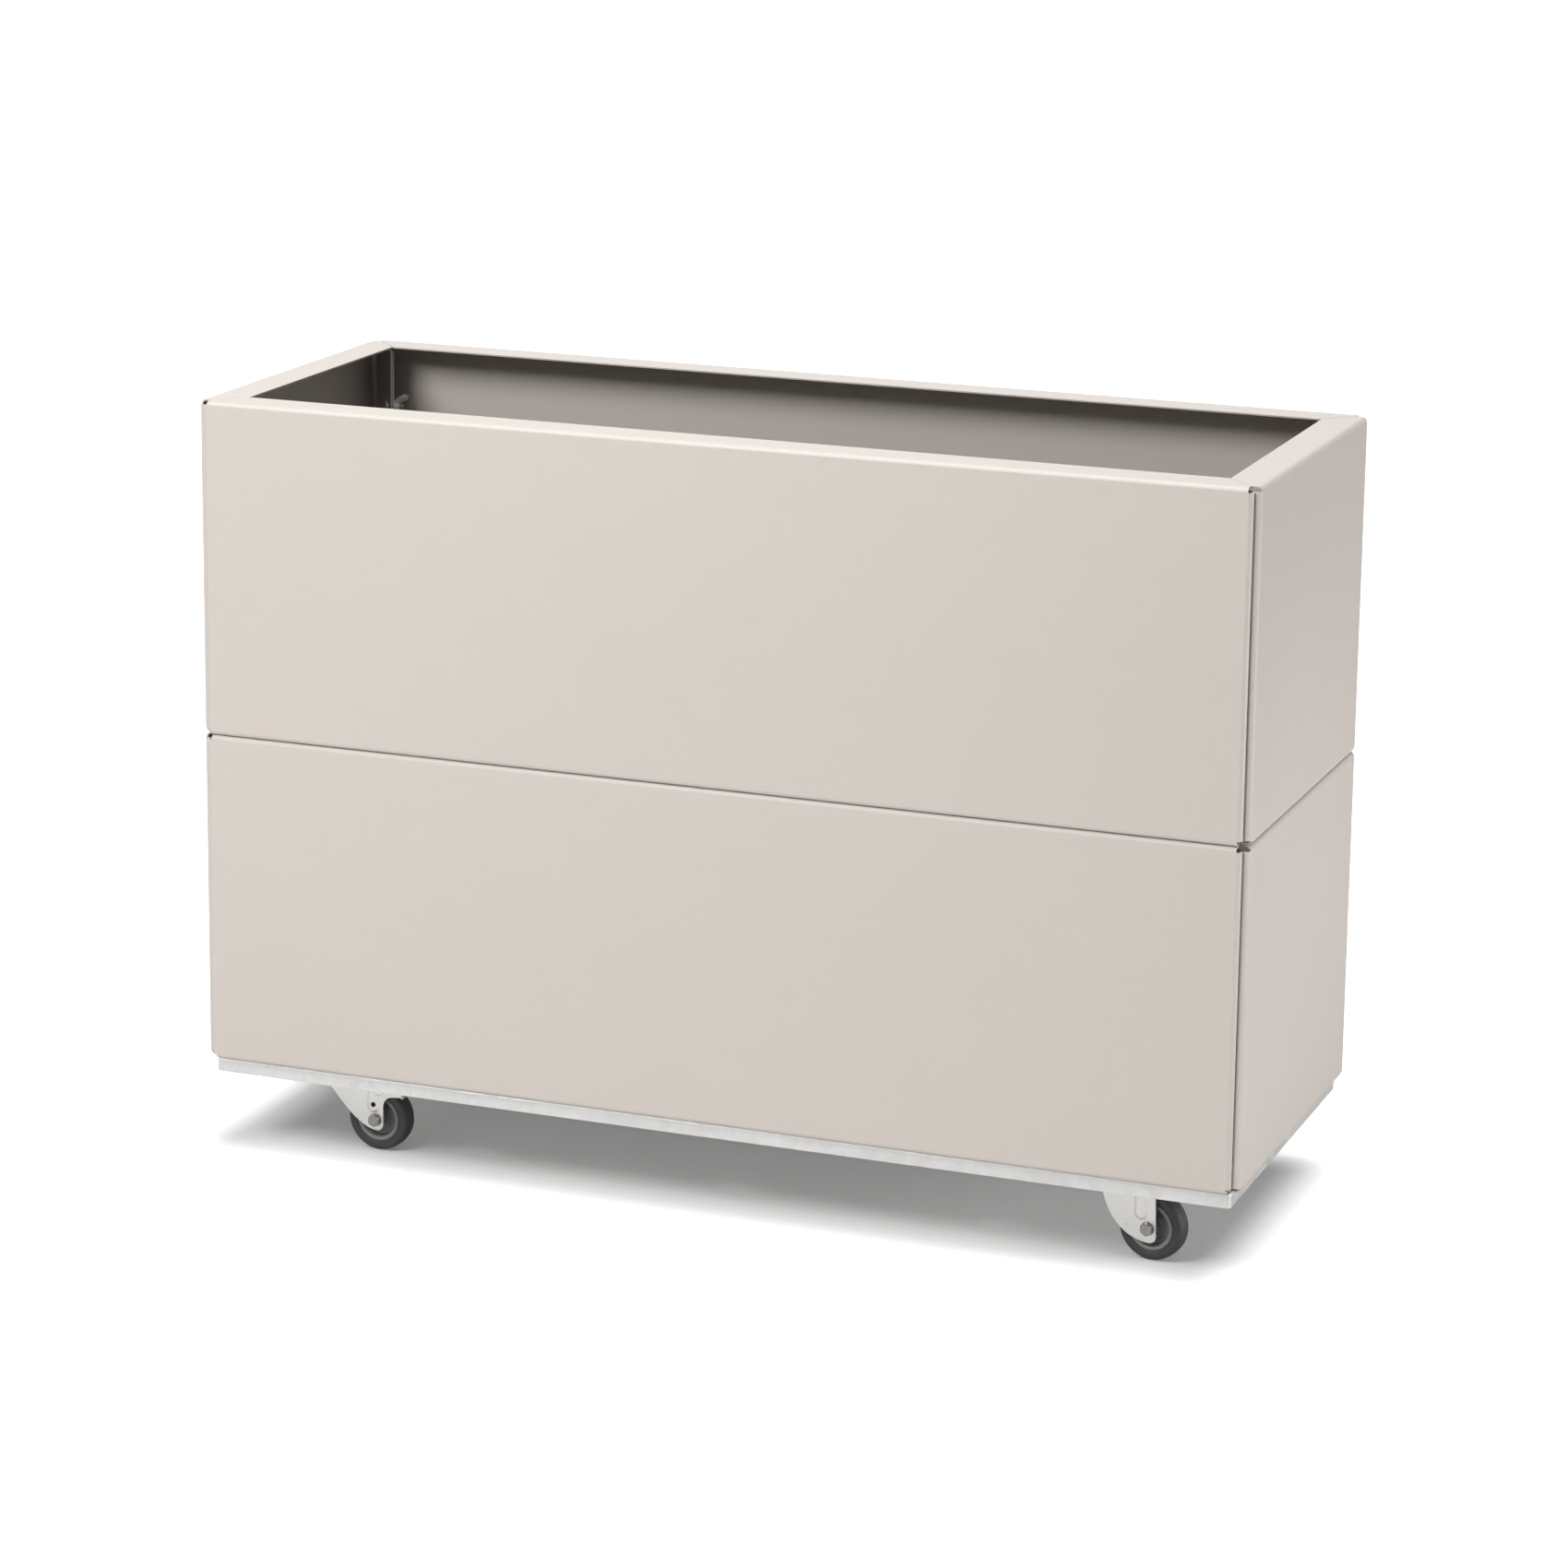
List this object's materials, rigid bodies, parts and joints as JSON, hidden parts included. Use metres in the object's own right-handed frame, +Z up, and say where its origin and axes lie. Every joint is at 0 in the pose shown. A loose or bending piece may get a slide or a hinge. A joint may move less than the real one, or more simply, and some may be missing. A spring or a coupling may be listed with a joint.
{
  "type": "rolling planter",
  "caption": "Tall rectangular steel planter of stacked folded-sheet collars with an inward rim, on a galvanised base pan with swivel castors.",
  "frame": {"origin": "on the floor, under the middle of the planter", "axes": "+X along the long side, +Y from front to back, +Z up"},
  "size_m": [1.2, 0.45, 0.8579],
  "materials": {
    "coating": "satin powder coat, warm off-white",
    "galvanised": "hot-dip galvanised, soft spangle",
    "zinc": "bright zinc plate",
    "rubber": "dull black solid rubber",
    "plastic": "grey moulded nylon"
  },
  "bodies": {
    "root": {"lower_front_panel": "coating", "lower_right_panel": "coating", "lower_back_panel": "coating", "lower_left_panel": "coating", "upper_front_panel": "coating", "upper_right_panel": "coating", "upper_back_panel": "coating", "upper_left_panel": "coating", "lower_wing_nut_front_left_low": "zinc", "lower_wing_nut_front_right_low": "zinc", "lower_wing_nut_rear_left_low": "zinc", "lower_wing_nut_rear_right_low": "zinc", "lower_wing_nut_front_left_high": "zinc", "lower_wing_nut_front_right_high": "zinc", "lower_wing_nut_rear_left_high": "zinc", "lower_wing_nut_rear_right_high": "zinc", "upper_wing_nut_front_left_low": "zinc", "upper_wing_nut_front_right_low": "zinc", "upper_wing_nut_rear_left_low": "zinc", "upper_wing_nut_rear_right_low": "zinc", "upper_wing_nut_front_left_high": "zinc", "upper_wing_nut_front_right_high": "zinc", "upper_wing_nut_rear_left_high": "zinc", "upper_wing_nut_rear_right_high": "zinc", "base_pan": "galvanised", "stiffener_left": "galvanised", "stiffener_right": "galvanised", "castor_plate_front_left": "zinc", "castor_plate_front_right": "zinc", "castor_plate_rear_left": "zinc", "castor_plate_rear_right": "zinc"},
    "castor_front_left": {"swivel_bearing_front_left": "zinc", "fork_front_left": "zinc", "axle_bolt_front_left": "zinc"},
    "wheel_front_left": {"wheel_hub_front_left": "plastic", "tyre_front_left": "rubber"},
    "pedal_front_left": {"brake_pedal_front_left": "zinc"},
    "castor_front_right": {"swivel_bearing_front_right": "zinc", "fork_front_right": "zinc", "axle_bolt_front_right": "zinc"},
    "wheel_front_right": {"wheel_hub_front_right": "plastic", "tyre_front_right": "rubber"},
    "castor_rear_left": {"swivel_bearing_rear_left": "zinc", "fork_rear_left": "zinc", "axle_bolt_rear_left": "zinc"},
    "wheel_rear_left": {"wheel_hub_rear_left": "plastic", "tyre_rear_left": "rubber"},
    "pedal_rear_left": {"brake_pedal_rear_left": "zinc"},
    "castor_rear_right": {"swivel_bearing_rear_right": "zinc", "fork_rear_right": "zinc", "axle_bolt_rear_right": "zinc"},
    "wheel_rear_right": {"wheel_hub_rear_right": "plastic", "tyre_rear_right": "rubber"}
  },
  "joints": [
    {"name": "swivel_front_left", "type": "hinge", "parent": "root", "child": "castor_front_left", "pos_m": [-0.455, -0.145, 0.09], "axis": [0, 0, 1], "continuous": true},
    {"name": "spin_front_left", "type": "hinge", "parent": "castor_front_left", "child": "wheel_front_left", "pos_m": [-0.41905, -0.14688, 0.0375], "axis": [0.0523, 0.9986, 0], "continuous": true},
    {"name": "brake_front_left", "type": "hinge", "parent": "castor_front_left", "child": "pedal_front_left", "pos_m": [-0.39711, -0.14803, 0.07848], "axis": [0.0523, 0.9986, 0], "range_deg": [0, 8]},
    {"name": "swivel_front_right", "type": "hinge", "parent": "root", "child": "castor_front_right", "pos_m": [0.455, -0.145, 0.09], "axis": [0, 0, 1], "continuous": true},
    {"name": "spin_front_right", "type": "hinge", "parent": "castor_front_right", "child": "wheel_front_right", "pos_m": [0.49056, -0.15063, 0.0375], "axis": [0.1564, 0.9877, 0], "continuous": true},
    {"name": "swivel_rear_left", "type": "hinge", "parent": "root", "child": "castor_rear_left", "pos_m": [-0.455, 0.145, 0.09], "axis": [0, 0, 1], "continuous": true},
    {"name": "spin_rear_left", "type": "hinge", "parent": "castor_rear_left", "child": "wheel_rear_left", "pos_m": [-0.41914, 0.14814, 0.0375], "axis": [-0.0872, 0.9962, 0], "continuous": true},
    {"name": "brake_rear_left", "type": "hinge", "parent": "castor_rear_left", "child": "pedal_rear_left", "pos_m": [-0.39725, 0.15005, 0.07848], "axis": [-0.0872, 0.9962, 0], "range_deg": [0, 8]},
    {"name": "swivel_rear_right", "type": "hinge", "parent": "root", "child": "castor_rear_right", "pos_m": [0.455, 0.145, 0.09], "axis": [0, 0, 1], "continuous": true},
    {"name": "spin_rear_right", "type": "hinge", "parent": "castor_rear_right", "child": "wheel_rear_right", "pos_m": [0.49091, 0.14249, 0.0375], "axis": [0.0698, 0.9976, 0], "continuous": true}
  ]
}
